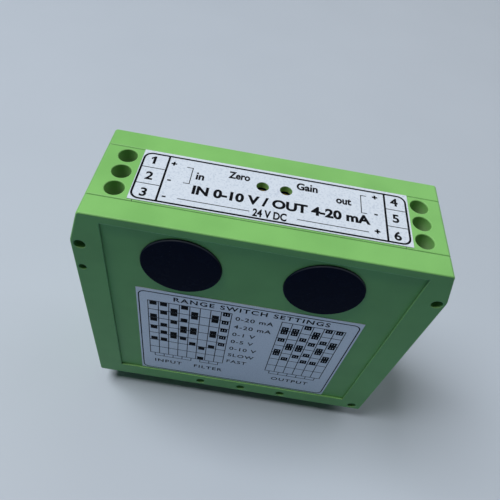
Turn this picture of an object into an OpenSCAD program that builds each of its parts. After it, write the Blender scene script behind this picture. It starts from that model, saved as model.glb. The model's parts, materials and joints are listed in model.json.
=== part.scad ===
// Rail-mounted signal isolator: two clip-on covers on a narrow centre frame, rising-cage screw
// terminals at both ends, trimmers under the top label and range switches behind two caps.
// Millimetres. X runs along the length, the front cover faces -Y, Z is up from the foot.

/* [Housing] */
// Length of the body between its end faces
body_l = 78; // [77:0.5:84]
// Width of the body over both covers
body_w = 26.2; // [25:0.2:32]
// Height of the body above the rail foot
body_h = 67.5; // [66:0.5:80]
// Length of the flat top face
top_l = 73; // [72.4:0.1:74.5]
// Height of the sloped end faces
shoulder_h = 8.8; // [8:0.2:9.2]
// Width of the centre frame between the covers
strip_w = 15.6; // [15.6:0.2:18]
// Wall thickness of the mouldings
wall = 2; // [1.6:0.1:2.2]
// Thickness of the top strip
strip_t = 1.4; // [1.2:0.1:1.8]
// Edge break around the outer faces of the covers
edge_break = 0.2; // [0.1:0.05:0.4]
// Edge break on each side of a seam
seam_break = 0.2; // [0.1:0.05:0.3]
// Corner break of the body's outline
corner_break = 0.4; // [0.3:0.1:0.8]

/* [Cover panel] */
// Depth of the recessed panel in each cover
recess_d = 0.5; // [0.2:0.1:0.8]
// Border beside the recessed panel
border_side = 6.5; // [5.5:0.1:7]
// Border above the recessed panel
border_top = 2.1; // [1.5:0.1:2.4]
// Border below the recessed panel
border_bottom = 5.1; // [4.5:0.1:6]

/* [Locating pegs] */
// Diameter of a locating hole in the covers
peg_hole_d = 2.5; // [2:0.1:2.8]
// Diameter of the small locating hole
small_hole_d = 1.8; // [1.4:0.1:2]
// Gap between a peg and its hole, all round
peg_gap = 0.1; // [0.05:0.05:0.2]
// Length of a peg beyond the seam
peg_len = 3; // [2:0.5:4]
// Wall of the boss around a locating hole
boss_wall = 1.1; // [0.8:0.1:1.4]
// Distance of the end pegs from the end face
end_peg_inset = 1.9; // [1.8:0.1:2.4]
// Distance of the end pegs below the top
end_peg_drop = 9.5; // [9:0.1:11]
// Distance of the small peg from the end face
small_peg_inset = 1.5; // [1.3:0.1:2]
// Distance of the small peg below the top
small_peg_drop = 17.2; // [16.5:0.1:18]
// Height of the base pegs above the covers' lower edge
base_peg_rise = 2.2; // [2:0.1:2.6]
// Distance of the corner peg from the end face
corner_peg_inset = 2.9; // [2.5:0.1:4]
// Places of the base pegs along the length
base_peg_at = [-9.4, 2.5, 14.3];

/* [Switch caps] */
// Diameter of a cap's flange
cap_d = 17.2; // [16.8:0.1:17.6]
// Thickness of a cap's flange
cap_t = 0.5; // [0.4:0.05:0.9]
// Rounding of a cap's edge
cap_edge = 0.35; // [0.2:0.05:0.4]
// Thickness of a cap's face behind its flange
cap_back = 0.6; // [0.4:0.1:0.9]
// Diameter of the cap holes in the front cover
cap_hole_d = 15.4; // [15:0.1:15.8]
// Gap between a cap's skirt and its hole, all round
cap_gap = 0.15; // [0.1:0.05:0.25]
// Wall of a cap's skirt
cap_skirt_t = 1.1; // [0.9:0.1:1.4]
// Length of a cap's skirt
cap_skirt_l = 2.6; // [2.2:0.1:3]
// Width of the slits in a cap's skirt
cap_slit_w = 2; // [1.5:0.1:2.5]
// Distance between the two caps
cap_spacing = 30.3; // [29:0.1:32]
// Place of the pair of caps along the length
cap_shift = -1.3; // [-2:0.1:0]
// Distance of the caps below the top
cap_drop = 11.9; // [11:0.1:12.2]

/* [Labels] */
// Thickness of a label
label_t = 0.12; // [0.1:0.01:0.2]
// Length of the top label
top_label_l = 57.5; // [57:0.1:58]
// Width of the top label
top_label_w = 15.1; // [14:0.1:15.2]
// Offset of the top label along the length
top_label_along = 0.25; // [-0.3:0.05:0.3]
// Offset of the top label towards the rear
top_label_shift = 0.2; // [0:0.05:0.2]
// Length of the front label
side_label_l = 52.6; // [48:0.2:60]
// Height of the front label
side_label_h = 40.2; // [36:0.2:40.4]
// Offset of the front label along the length
side_label_shift = -0.2; // [-1:0.1:1]
// Gap between the front label and the lower edge of its panel
side_label_gap = 0.2; // [0.1:0.1:1]

/* [Terminals] */
// Distance between neighbouring terminals
pitch = 5; // [5:0.02:5.08]
// Distance of the screw wells from the end of the top face
well_inset = 4.9; // [4.7:0.05:4.95]
// Diameter of a screw well
well_d = 4; // [3.9:0.05:4.2]
// Edge break at the mouth of a screw well
well_edge = 0.15; // [0.1:0.05:0.3]
// Depth of the screw head below the top
head_drop = 6.1; // [5.5:0.1:7]
// Length of a terminal block along the top face
block_top_l = 9; // [8.8:0.05:9.4]
// Ledge of a terminal block under the top strip
ledge = 1.2; // [0.8:0.1:1.6]
// Height of a terminal block
block_h = 21.5; // [21.2:0.1:23]
// Diameter of a wire entry
wire_d = 3; // [2.6:0.1:3.2]
// Diameter of the funnel at a wire entry
funnel_d = 4; // [3.6:0.1:4.2]
// Depth of the funnel at a wire entry
funnel_l = 1.2; // [0.8:0.1:1.6]

/* [Wire clamps] */
// Diameter of a clamp screw's head
head_d = 3.6; // [3.4:0.05:3.7]
// Height of a clamp screw's head
head_h = 2; // [1.8:0.1:2.2]
// Edge break of a clamp screw's head
head_edge = 0.2; // [0.1:0.05:0.3]
// Width of a clamp screw's slot
slot_w = 0.7; // [0.5:0.1:0.9]
// Depth of a clamp screw's slot
slot_d = 0.8; // [0.5:0.1:1]
// Diameter of a clamp screw's shank
shank_d = 2.6; // [2.4:0.1:2.7]
// Taper of a clamp screw's tip
tip_edge = 0.4; // [0.2:0.1:0.6]
// Gap between a shank and its hole, all round
shank_gap = 0.1; // [0.08:0.01:0.15]
// Thickness of the shoulder under a screw head
seat_t = 1.2; // [1:0.1:1.4]
// Gap between a screw head and its shoulder
head_gap = 0.05; // [0.02:0.01:0.1]
// Upward travel of a clamp cage
cage_travel = 2; // [1.5:0.1:2.2]
// Length of a clamp cage
cage_l = 5.4; // [5:0.1:5.6]
// Width of a clamp cage
cage_w = 4; // [3.9:0.05:4.1]
// Side wall of a clamp cage
cage_side_t = 0.45; // [0.4:0.05:0.5]
// Thickness of a clamp cage's top
cage_top_t = 1.6; // [1.2:0.1:1.8]
// Thickness of a clamp cage's floor
cage_floor_t = 1.2; // [0.9:0.1:1.3]
// Height of a clamp cage's window
cage_window_h = 6.2; // [6:0.1:6.3]
// Gap between a clamp cage and its chamber, all round
cage_gap = 0.1; // [0.08:0.01:0.15]

/* [Contacts] */
// Width of a contact bar
bar_w = 2.6; // [2.2:0.1:2.8]
// Thickness of a contact bar
bar_t = 0.8; // [0.6:0.1:1]
// Gap between a contact bar and the parts around it
bar_gap = 0.1; // [0.05:0.05:0.2]
// Width of a contact's leg
leg_w = 1.2; // [1:0.1:1.4]
// Distance of the outermost leg from the terminal block
leg_inset = 1.8; // [1.5:0.1:2.5]
// Distance between neighbouring legs
leg_step = 1.8; // [1.6:0.1:2.2]
// Length of a leg behind the board
leg_end = 0.8; // [0.5:0.1:1.2]

/* [Rail foot] */
// Height of the rail foot below the body
foot_h = 6; // [5.6:0.1:8]
// Width of the mounting rail
rail_w = 35; // [35:0.1:35.2]
// Thickness of the mounting rail's flange
rail_t = 1; // [1:0.1:1.2]
// Play between the foot and the rail
rail_gap = 0.3; // [0.2:0.05:0.4]
// Reach of the hook and the latch under the rail
lip_reach = 2.5; // [2:0.1:2.6]
// Thickness of the fixed hook beside the rail
hook_t = 5; // [4:0.5:8]
// Height of the lead-in slope on the hook and the latch
lip_slope = 1.6; // [1:0.1:2]
// Thickness of the base above the rail
base_t = 4.5; // [4.4:0.1:6]
// Length of the latch's guide
guide_l = 14; // [13.5:0.5:16]
// Thickness of the lips that hold the latch in its guide
guide_lip_t = 1; // [0.8:0.1:1.2]
// Width of the lips that hold the latch in its guide
guide_lip_w = 1.4; // [1:0.1:1.6]
// Width of the latch
latch_w = 9; // [8.5:0.1:9.6]
// Gap between the latch and its guide
latch_gap = 0.15; // [0.1:0.05:0.2]
// Travel of the latch
latch_travel = 3; // [2.8:0.1:3.2]
// Length of the latch's tab beyond its guide
tab_l = 5.5; // [4.5:0.5:7]
// Distance of the screwdriver slot from the tab's end
tab_end = 1.8; // [1.4:0.1:2.2]
// Width of the screwdriver slot in the tab
tab_slot_w = 1.4; // [1.2:0.1:1.8]
// Length of the screwdriver slot in the tab
tab_slot_l = 5; // [4:0.5:6]
// Thickness of the stop post inside the latch
post_t = 1.5; // [1.3:0.1:1.8]
// Wall between the nose of the latch and its spring
spring_wall = 2.6; // [2.5:0.1:3]
// Outer diameter of the latch spring
spring_d = 3; // [2.6:0.1:3.1]
// Wire diameter of the latch spring
spring_wire = 0.4; // [0.3:0.05:0.5]
// Free length left in the latch spring at full travel
spring_reserve = 1; // [0.6:0.1:1.4]
// Turns of the latch spring
spring_turns = 5; // [4:1:6]

/* [Circuit board] */
// Thickness of the circuit board
board_t = 1.6; // [1.2:0.2:1.8]
// Depth of the slot that holds the board's lower edge
board_slot_d = 1.5; // [1:0.1:2]
// Gap between the board and the parts around it
board_gap = 0.4; // [0.3:0.1:0.6]
// Gap between the board and the sides of its slot
board_slip = 0.1; // [0.05:0.05:0.15]

/* [Trimmers] */
// Distance between the two trimmers
trimmer_pitch = 5; // [4.8:0.02:5.2]
// Place of the trimmers towards the rear
trimmer_y = 2.55; // [2.3:0.05:2.7]
// Diameter of the trimmer holes in the top
trimmer_hole_d = 2.7; // [2.5:0.1:3]
// Width of a trimmer's body
trimmer_w = 4.6; // [4.2:0.1:4.7]
// Depth of a trimmer's body
trimmer_d = 5.6; // [5.4:0.1:6.5]
// Height of a trimmer's body
trimmer_h = 7; // [6:0.1:8]
// Distance of a trimmer's screw from the board
trimmer_axis = 2.45; // [2.2:0.05:2.7]
// Diameter of a trimmer screw's head
trim_head_d = 2.2; // [2:0.1:2.4]
// Height of a trimmer screw's head
trim_head_h = 0.7; // [0.6:0.1:0.8]
// Diameter of a trimmer screw's stem
trim_stem_d = 1.6; // [1.4:0.1:1.8]
// Length of a trimmer screw's stem
trim_stem_l = 3; // [2:0.2:4]
// Width of a trimmer screw's slot
trim_slot_w = 0.5; // [0.4:0.05:0.6]
// Depth of a trimmer screw's slot
trim_slot_d = 0.4; // [0.3:0.05:0.5]
// Gap around a trimmer screw
trim_gap = 0.08; // [0.05:0.01:0.1]

/* [Range switches] */
// Number of input range switches
input_ways = 8; // [4:1:8]
// Number of output range switches
output_ways = 6; // [4:1:8]
// Distance between neighbouring switch sliders
way_pitch = 1.27; // [1.2:0.01:1.3]
// Length of a switch body beyond its sliders
switch_margin = 1; // [0.8:0.1:1.4]
// Height of a switch body
switch_h = 6; // [5:0.1:6.5]
// Depth of a switch body
switch_d = 2.6; // [2.2:0.1:3]
// Width of a slider
slider_w = 0.7; // [0.6:0.05:0.75]
// Height of a slider
slider_h = 1.3; // [1.1:0.1:1.5]
// Reach of a slider beyond its switch
slider_reach = 0.8; // [0.6:0.1:1]
// Depth of a slider in its switch
slider_depth = 1; // [0.8:0.1:1.2]
// Travel of a slider
slider_travel = 1.1; // [0.9:0.1:1.2]
// Gap around a slider
slider_gap = 0.08; // [0.05:0.01:0.1]

/* [Board components] */
// Width, depth and height of an amplifier chip
chip = [9.6, 3.4, 6.4];
// Standing height of an amplifier chip above the board
chip_stand = 0.5; // [0.4:0.1:0.8]
// Width and thickness of a chip's pins
chip_pin = [0.5, 0.3];
// Number of pins on each side of a chip
chip_pins = 4; // [2:1:4]
// Diameter and depth of the notch at a chip's end
chip_notch = [1.6, 0.4];
// Distance between a chip's pins
chip_pin_pitch = 2.54; // [2.5:0.01:2.54]
// Places of the chips along the board and above the base
chip_at = [[-24, 12], [-24, 28], [11, 12], [11, 28]];
// Diameter of an electrolytic capacitor
can_d = 6.3; // [5:0.1:6.5]
// Length of an electrolytic capacitor
can_l = 11; // [8:0.5:11.5]
// Rounding of a capacitor can's end
can_edge = 0.5; // [0.3:0.1:0.8]
// Distance of a can's crimp groove from the board
can_groove_at = 1.6; // [1.2:0.1:3]
// Depth of a can's crimp groove
can_groove = 0.4; // [0.2:0.1:0.6]
// Places of the electrolytic capacitors
can_at = [[19.6, 8], [19.6, 17], [19.6, 26]];
// Width, depth and height of a film capacitor
film = [7.2, 6.5, 2.5];
// Places of the film capacitors
film_at = [[-6, 5], [-6, 34]];
// Diameter of a resistor
resistor_d = 2.3; // [1.8:0.1:2.5]
// Length of a resistor
resistor_l = 6.3; // [5:0.1:6.5]
// Length of the thicker ends of a resistor
resistor_end_l = 1.4; // [1:0.1:1.8]
// Depth of a resistor's waist
resistor_waist = 0.2; // [0.1:0.05:0.3]
// Distance between a resistor's leads
resistor_span = 9.5; // [8:0.1:10]
// Diameter of a component lead
lead_d = 0.6; // [0.5:0.05:0.7]
// Places of the resistors
resistor_at = [[-24, 4], [-24, 18.5], [-24, 21.5], [-24, 36], [11, 4], [11, 18.5], [11, 21.5], [11, 36]];
// Width, depth and height of the regulator's body
regulator = [8, 3, 7.5];
// Height and thickness of the regulator's tab
regulator_tab = [5, 1.2];
// Diameter of the hole in the regulator's tab
regulator_hole_d = 3.2; // [2.6:0.1:3.4]
// Width and thickness of the regulator's legs
regulator_leg = [0.8, 0.5];
// Length of the regulator's legs
regulator_leg_l = 2.2; // [1.6:0.1:3]
// Distance between the regulator's legs
regulator_leg_pitch = 2.54; // [2.5:0.01:2.54]
// Place of the regulator
regulator_at = [27.5, 22];
// Width, depth and height of the transformer's core
core = [13, 6, 13];
// Width of the core's middle leg
core_leg = 3.6; // [3.2:0.1:4]
// Thickness of the core's outer legs
core_rim = 2.2; // [2:0.1:2.4]
// Depth of the transformer's winding
winding_d = 10.4; // [9:0.1:11]
// Corner radius of the transformer's winding
winding_r = 1.4; // [0.8:0.1:1.8]
// Gap between the transformer's pieces
core_gap = 0.15; // [0.1:0.05:0.2]
// Thickness of the transformer's carrier plate
carrier_t = 1; // [0.8:0.1:1.4]
// Place of the transformer
transformer_at = [-6, 19.5];

/* [Hidden] */
$fn = 64;

// Overshoot of a cutting shape past the face that it opens
cut = 1;

// Terminals at each end and in all, and the places of an end's poles in pitches from the middle
poles = 3;
terminals = 2 * poles;
last_row = (poles - 1) / 2;
pole_rows = [-last_row:last_row];

// Main heights and half sizes
z_base = foot_h;
z_floor = z_base + base_t;
z_top = foot_h + body_h;
z_shoulder = z_top - shoulder_h;
z_block = z_top - block_h;
end_x = body_l / 2;
top_x = top_l / 2;
face_y = body_w / 2;
seam_y = strip_w / 2;
panel_y = face_y - recess_d;
inner_x = end_x - wall;
slope_run = end_x - top_x;
slope_len = norm([slope_run, shoulder_h]);

// Terminal blocks
well_x = top_x - well_inset;
block_top_x = top_x - block_top_l;
block_x = block_top_x - ledge;
z_head = z_top - head_drop - head_h;
z_seat = z_head - head_gap;
z_chamber = z_seat - seat_t;
chamber_w = cage_w + 2 * cage_gap;
chamber_l = cage_l + 2 * cage_gap;
z_cage_top = z_chamber - cage_travel - cage_gap;
z_window_top = z_cage_top - cage_top_t;
z_window = z_window_top - cage_window_h;
z_cage = z_window - cage_floor_t;
z_wire = z_window + wire_d / 2;
z_bar = z_window + wire_d;
z_tip = z_bar + bar_t + bar_gap;

// Board and what it carries
board_y = trimmer_y + trimmer_axis;
z_board = z_floor - board_slot_d;
z_board_step = z_block - board_gap;
z_strip = z_top - strip_t;
z_board_top = z_strip - board_gap;
board_x = inner_x - board_gap;
board_top_x = block_x - board_gap;
z_trimmer = z_board_top - trim_head_h;
z_cap = z_top - cap_drop;
input_x = cap_shift - cap_spacing / 2;
output_x = cap_shift + cap_spacing / 2;
slot_h = slider_h + slider_travel + 2 * slider_gap;
core_window_w = (core[0] - core_leg) / 2 - core_rim;
core_y = -carrier_t - winding_d / 2;

// Rail foot
z_slot = z_base - rail_t - rail_gap;
hook_x = rail_w / 2 + rail_gap;
lip_x = rail_w / 2 - lip_reach;
guide_end_x = hook_x + guide_l;
z_latch = guide_lip_t + latch_gap;
window_x = hook_x + spring_wall;
window_w = spring_d + 2 * latch_gap;
spring_l = latch_travel + (spring_turns + 1) * spring_wire + spring_reserve;
post_x = window_x + spring_l + 2 * latch_gap;
tab_x = guide_end_x + tab_l;

// Locating pegs: place along X, place along Z, hole diameter
end_peg_x = end_x - end_peg_inset;
z_end_peg = z_top - end_peg_drop;
z_base_peg = z_base + base_peg_rise;
left_pegs = [
    [-end_peg_x, z_end_peg, peg_hole_d],
    [small_peg_inset - end_x, z_top - small_peg_drop, small_hole_d]
];
right_pegs = [[end_peg_x, z_end_peg, peg_hole_d]];
base_pegs = [for (x = concat(base_peg_at, [end_x - corner_peg_inset])) [x, z_base_peg, peg_hole_d]];
pegs = concat(left_pegs, right_pegs, base_pegs);

// Outline of the body in X and Z, anticlockwise, moved inwards by d
function body_outline(d) =
    let (shoulder_z = z_shoulder - d * (slope_len - shoulder_h) / slope_run)
    let (top_end_x = top_x - d * (slope_len - slope_run) / shoulder_h)
    [
        [d - end_x, z_base + d],
        [end_x - d, z_base + d],
        [end_x - d, shoulder_z],
        [top_end_x, z_top - d],
        [-top_end_x, z_top - d],
        [d - end_x, shoulder_z]
    ];

// Outline with each corner cut back by c along both of its edges
function broken(points, c) = [
    for (i = [0:len(points) - 1])
        let (p = points[i], n = len(points))
        let (a = points[(i + n - 1) % n] - p, b = points[(i + 1) % n] - p)
        each [p + c * a / norm(a), p + c * b / norm(b)]
];

// Prism of an outline in X and Z, between two places along Y
module xz_prism(points, y0, y1) {
    translate([0, y1, 0]) rotate([90, 0, 0]) linear_extrude(y1 - y0) polygon(points);
}

// Box between two corners
module span(low, high) {
    translate(low) cube(high - low);
}

// Cylinder along Y at a place in X and Z
module rod_y(x, z, d, y0, y1) {
    translate([x, y0, z]) rotate([-90, 0, 0]) cylinder(d = d, h = y1 - y0);
}

// Wedges that break the edges of an outline on the face at y; into is +1 where solid lies behind it
module edge_wedges(points, y, into, c) {
    n = len(points);
    for (i = [0:n - 1]) {
        p = points[i];
        run = points[(i + 1) % n] - p;
        translate([p[0], y, p[1]])
            rotate([0, -atan2(run[1], run[0]), 0])
                translate([-c, 0, 0])
                    rotate([90, 0, 90])
                        linear_extrude(norm(run) + 2 * c)
                            polygon([[-into * c, 2 * c], [2 * into * c, -c], [-into * c, -c]]);
    }
}

// Full-height prism of the centre strip, with its seam edges broken
module strip_prism() {
    outline = broken(body_outline(0), corner_break);
    difference() {
        xz_prism(outline, -seam_y, seam_y);
        edge_wedges(outline, -seam_y, 1, seam_break);
        edge_wedges(outline, seam_y, -1, seam_break);
    }
}

// Pegs of the centre pieces, on both sides
module peg_set(sites) {
    for (p = sites, side = [0, 1])
        mirror([0, side, 0]) rod_y(p[0], p[1], p[2] - 2 * peg_gap, seam_y - seam_break, seam_y + peg_len);
}

// Cover as it sits on the front: a tray with a recessed panel, bosses and locating holes
module cover_tray() {
    outline = broken(body_outline(0), corner_break);
    difference() {
        union() {
            difference() {
                xz_prism(outline, -face_y, -seam_y);
                xz_prism(body_outline(wall), wall - face_y, cut - seam_y);
            }
            intersection() {
                xz_prism(outline, -face_y, -seam_y);
                union()
                    for (p = pegs) rod_y(p[0], p[1], p[2] + 2 * boss_wall, wall / 2 - face_y, -seam_y);
            }
        }
        span(
            [border_side - end_x, -face_y - cut, z_base + border_bottom],
            [end_x - border_side, -panel_y, z_top - border_top]
        );
        for (p = pegs) rod_y(p[0], p[1], p[2], -face_y - cut, cut - seam_y);
        edge_wedges(outline, -face_y, 1, edge_break);
        edge_wedges(outline, -seam_y, -1, seam_break);
    }
}

module front_cover() {
    color("yellowgreen")
        difference() {
            cover_tray();
            for (x = [input_x, output_x]) rod_y(x, z_cap, cap_hole_d, -face_y - cut, -seam_y);
        }
}

module rear_cover() {
    color("yellowgreen") mirror([0, 1, 0]) cover_tray();
}

// Fixed hook under the rail's flange, on the left
module rail_hook() {
    lip = [
        [-hook_x - hook_t, z_base],
        [-hook_x - hook_t, 0],
        [-hook_x, 0],
        [-lip_x, lip_slope],
        [-lip_x, z_slot],
        [-hook_x, z_slot],
        [-hook_x, z_base]
    ];
    xz_prism(lip, -seam_y, seam_y);
}

// Guide of the latch: a block with a tunnel that is open below, and the stop post of the spring
module latch_guide() {
    tunnel_y = latch_w / 2 + latch_gap;
    mouth_y = tunnel_y - guide_lip_w;
    difference() {
        span([hook_x, -seam_y, 0], [guide_end_x, seam_y, z_base]);
        span([hook_x - cut, -tunnel_y, guide_lip_t], [guide_end_x + cut, tunnel_y, z_slot + latch_gap]);
        span([hook_x - cut, -mouth_y, -cut], [guide_end_x + cut, mouth_y, z_slot]);
    }
    span([post_x, latch_gap - window_w / 2, z_latch], [post_x + post_t, window_w / 2 - latch_gap, z_base]);
}

module centre_frame() {
    color("yellowgreen")
        difference() {
            union() {
                difference() {
                    intersection() {
                        strip_prism();
                        span([-end_x, -seam_y, z_base], [end_x, seam_y, z_block]);
                    }
                    span([-inner_x, -seam_y - cut, z_floor], [inner_x, seam_y + cut, z_block + cut]);
                }
                rail_hook();
                latch_guide();
                peg_set(base_pegs);
            }
            span(
                [-board_x - board_slip, board_y - board_slip, z_board],
                [board_x + board_slip, board_y + board_t + board_slip, z_floor + cut]
            );
        }
}

module top_strip() {
    half_l = block_top_x - board_slip;
    color("yellowgreen")
        difference() {
            intersection() {
                strip_prism();
                span([-half_l, -seam_y, z_strip], [half_l, seam_y, z_top]);
            }
            trimmer_holes(z_strip - cut, z_top + cut);
        }
}

// Screwdriver holes over the two trimmers
module trimmer_holes(z0, z1) {
    for (side = [-1, 1])
        translate([side * trimmer_pitch / 2, trimmer_y, z0]) cylinder(d = trimmer_hole_d, h = z1 - z0);
}

module top_label() {
    color("whitesmoke")
        difference() {
            translate([top_label_along - top_label_l / 2, top_label_shift - top_label_w / 2, z_top])
                cube([top_label_l, top_label_w, label_t]);
            trimmer_holes(z_top - cut, z_top + cut);
        }
}

module side_label() {
    color("silver")
        translate([
            side_label_shift - side_label_l / 2,
            -panel_y - label_t,
            z_base + border_bottom + side_label_gap
        ])
            cube([side_label_l, label_t, side_label_h]);
}

// Black cap with a flat face, a round edge and a slit skirt
module switch_cap(x) {
    r = cap_d / 2;
    skirt_r = cap_hole_d / 2 - cap_gap;
    bore_r = skirt_r - cap_skirt_t;
    slit_turns = [45, 135];
    round_turns = [0:22.5:90];
    section = [
        [0, -cap_back],
        [bore_r, -cap_back],
        [bore_r, -cap_skirt_l],
        [skirt_r, -cap_skirt_l],
        [skirt_r, 0],
        [r, 0],
        for (turn = round_turns) [r, cap_t] + cap_edge * [cos(turn) - 1, sin(turn) - 1],
        [0, cap_t]
    ];
    color("black")
        translate([x, -panel_y, z_cap])
            rotate([90, 0, 0])
                difference() {
                    rotate_extrude() polygon(section);
                    for (turn = slit_turns)
                        rotate([0, 0, turn])
                            translate([-r, -cap_slit_w / 2, -cap_skirt_l - cut])
                                cube([cap_d, cap_slit_w, cap_skirt_l - cap_back + cut]);
                }
}

module input_plug() {
    switch_cap(input_x);
}

module output_plug() {
    switch_cap(output_x);
}

// Sliding catch of the rail foot, with a window for its spring and a screwdriver tab
module rail_latch() {
    nose = [
        [lip_x, z_slot],
        [lip_x, z_slot - lip_slope],
        [lip_x + lip_slope, z_latch],
        [tab_x, z_latch],
        [tab_x, z_slot]
    ];
    slot_x = tab_x - tab_end - tab_slot_w;
    color("dimgray")
        difference() {
            xz_prism(nose, -latch_w / 2, latch_w / 2);
            span(
                [window_x, -window_w / 2, z_latch - cut],
                [post_x + post_t + latch_gap, window_w / 2, z_slot + cut]
            );
            span(
                [slot_x, -tab_slot_l / 2, z_latch - cut],
                [slot_x + tab_slot_w, tab_slot_l / 2, z_slot + cut]
            );
        }
}

// Coil spring along X between the latch and the stop post
module latch_spring() {
    sides = 8;
    per_turn = 12;
    steps = spring_turns * per_turn;
    coil_r = (spring_d - spring_wire) / 2;
    wire_r = spring_wire / 2;
    z_axis = (z_latch + z_slot) / 2;
    pitch_x = (spring_l - 2 * wire_r) / steps;
    points = [
        for (s = [0:steps], k = [0:sides - 1])
            let (turn = 360 * s / per_turn, around = 360 * k / sides)
            let (r = coil_r + wire_r * cos(around))
            [s * pitch_x + wire_r * sin(around), r * cos(turn), r * sin(turn)]
    ];
    walls = [
        for (s = [0:steps - 1], k = [0:sides - 1])
            let (a = s * sides + k, b = s * sides + (k + 1) % sides)
            [a, b, b + sides, a + sides]
    ];
    first = [for (k = [sides - 1:-1:0]) k];
    last = [for (k = [0:sides - 1]) steps * sides + k];
    color("lightgray")
        translate([window_x + latch_gap + wire_r, 0, z_axis])
            polyhedron(points, concat(walls, [first, last]));
}

// Terminal block of the right end: three screw wells, clamp chambers and wire entries
module terminal_block(sites) {
    chamber_x = well_x - chamber_l / 2;
    flare = 2 * well_edge;
    difference() {
        union() {
            intersection() {
                strip_prism();
                union() {
                    span([block_top_x, -seam_y, z_block], [end_x, seam_y, z_top]);
                    span([block_x, -seam_y, z_block], [end_x, seam_y, z_strip]);
                }
            }
            peg_set(sites);
        }
        for (pole = pole_rows)
            translate([0, pole * pitch, 0]) {
                translate([well_x, 0, z_seat]) cylinder(d = well_d, h = z_top - z_seat + cut);
                translate([well_x, 0, z_top - well_edge])
                    cylinder(d1 = well_d, d2 = well_d + 2 * flare, h = flare);
                translate([well_x, 0, z_chamber - cut])
                    cylinder(d = shank_d + 2 * shank_gap, h = seat_t + 2 * cut);
                span(
                    [chamber_x, -chamber_w / 2, z_block - cut],
                    [chamber_x + chamber_l, chamber_w / 2, z_chamber]
                );
                span(
                    [block_x - cut, -bar_w / 2 - bar_gap, z_block - cut],
                    [chamber_x + cut, bar_w / 2 + bar_gap, z_bar + bar_t]
                );
                wire_entry();
            }
    }
}

// Round wire entry with a funnel, cut in from the right end face
module wire_entry() {
    translate([end_x, 0, z_wire])
        rotate([0, -90, 0]) {
            cylinder(d = wire_d, h = end_x - well_x);
            translate([0, 0, -cut]) cylinder(d = funnel_d, h = cut);
            cylinder(d1 = funnel_d, d2 = wire_d, h = funnel_l);
        }
}

module input_terminal_block() {
    color("yellowgreen") mirror([1, 0, 0]) terminal_block([for (p = left_pegs) [-p[0], p[1], p[2]]]);
}

module output_terminal_block() {
    color("yellowgreen") terminal_block(right_pegs);
}

// Puts a shape made for the middle right terminal at terminal t, counted from the rear, left end first
module at_terminal(t) {
    pole = last_row - (t - 1) % poles;
    mirror([t > poles ? 0 : 1, 0, 0]) translate([0, pole * pitch, 0]) children();
}

// Slotted clamp screw with a tapered tip
module clamp_screw(t) {
    head_r = head_d / 2;
    shank_r = shank_d / 2;
    z_crown = z_head + head_h;
    section = [
        [0, z_tip],
        [shank_r - tip_edge, z_tip],
        [shank_r, z_tip + tip_edge],
        [shank_r, z_head],
        [head_r, z_head],
        [head_r, z_crown - head_edge],
        [head_r - head_edge, z_crown],
        [0, z_crown]
    ];
    color("lightsteelblue")
        at_terminal(t)
            translate([well_x, 0, 0])
                difference() {
                    rotate_extrude() polygon(section);
                    translate([-head_d, -slot_w / 2, z_crown - slot_d])
                        cube([2 * head_d, slot_w, slot_d + cut]);
                }
}

// Rising cage that its screw draws up against the contact bar
module clamp_cage(t) {
    window_y = cage_w / 2 - cage_side_t;
    color("lightsteelblue")
        at_terminal(t)
            translate([well_x, 0, 0])
                difference() {
                    span([-cage_l / 2, -cage_w / 2, z_cage], [cage_l / 2, cage_w / 2, z_cage_top]);
                    span([-cage_l, -window_y, z_window], [cage_l, window_y, z_window_top]);
                    translate([0, 0, z_window]) cylinder(d = shank_d + 2 * shank_gap, h = block_h);
                }
}

// Contact bar of one pole, with a tongue and a leg that runs back through the board
module contact(pole, clearance) {
    y = pole * pitch;
    front_y = y - bar_w / 2;
    leg_x = block_x - leg_inset - (last_row - pole) * leg_step;
    tongue_w = min(leg_w, board_y - board_slip - (last_row * pitch - bar_w / 2));
    span([block_x, front_y, z_bar], [well_x + shank_d / 2, y + bar_w / 2, z_bar + bar_t]);
    span([leg_x - leg_w, front_y, z_bar], [block_x, front_y + tongue_w, z_bar + bar_t]);
    span(
        [leg_x - leg_w - clearance, front_y, z_bar - clearance],
        [leg_x + clearance, board_y + board_t + leg_end, z_bar + bar_t + clearance]
    );
}

module terminal_contacts() {
    color("gold")
        for (pole = pole_rows, side = [0, 1]) mirror([side, 0, 0]) contact(pole, 0);
}

module circuit_board() {
    outline = [
        [-board_x, z_board],
        [board_x, z_board],
        [board_x, z_board_step],
        [board_top_x, z_board_step],
        [board_top_x, z_board_top],
        [-board_top_x, z_board_top],
        [-board_top_x, z_board_step],
        [-board_x, z_board_step]
    ];
    color("darkgreen")
        difference() {
            xz_prism(outline, board_y, board_y + board_t);
            for (pole = pole_rows, side = [0, 1]) mirror([side, 0, 0]) contact(pole, board_slip);
        }
}

// Body of a slim multi-turn trimmer on the board
module trimmer(side) {
    x = side * trimmer_pitch / 2;
    color("royalblue")
        difference() {
            span(
                [x - trimmer_w / 2, board_y - trimmer_d, z_trimmer - trimmer_h],
                [x + trimmer_w / 2, board_y, z_trimmer]
            );
            translate([x, trimmer_y, z_trimmer - trim_stem_l - trim_gap])
                cylinder(d = trim_stem_d + 2 * trim_gap, h = trim_stem_l + cut);
        }
}

module zero_trimmer() {
    trimmer(-1);
}

module gain_trimmer() {
    trimmer(1);
}

// Slotted screw of a trimmer
module trimmer_screw(side) {
    z_head_seat = z_trimmer + trim_gap;
    color("goldenrod")
        translate([side * trimmer_pitch / 2, trimmer_y, z_head_seat])
            difference() {
                union() {
                    cylinder(d = trim_head_d, h = trim_head_h);
                    translate([0, 0, -trim_stem_l]) cylinder(d = trim_stem_d, h = trim_stem_l);
                }
                translate([-trim_head_d, -trim_slot_w / 2, trim_head_h - trim_slot_d])
                    cube([2 * trim_head_d, trim_slot_w, trim_slot_d + cut]);
            }
}

module zero_screw() {
    trimmer_screw(-1);
}

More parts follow.
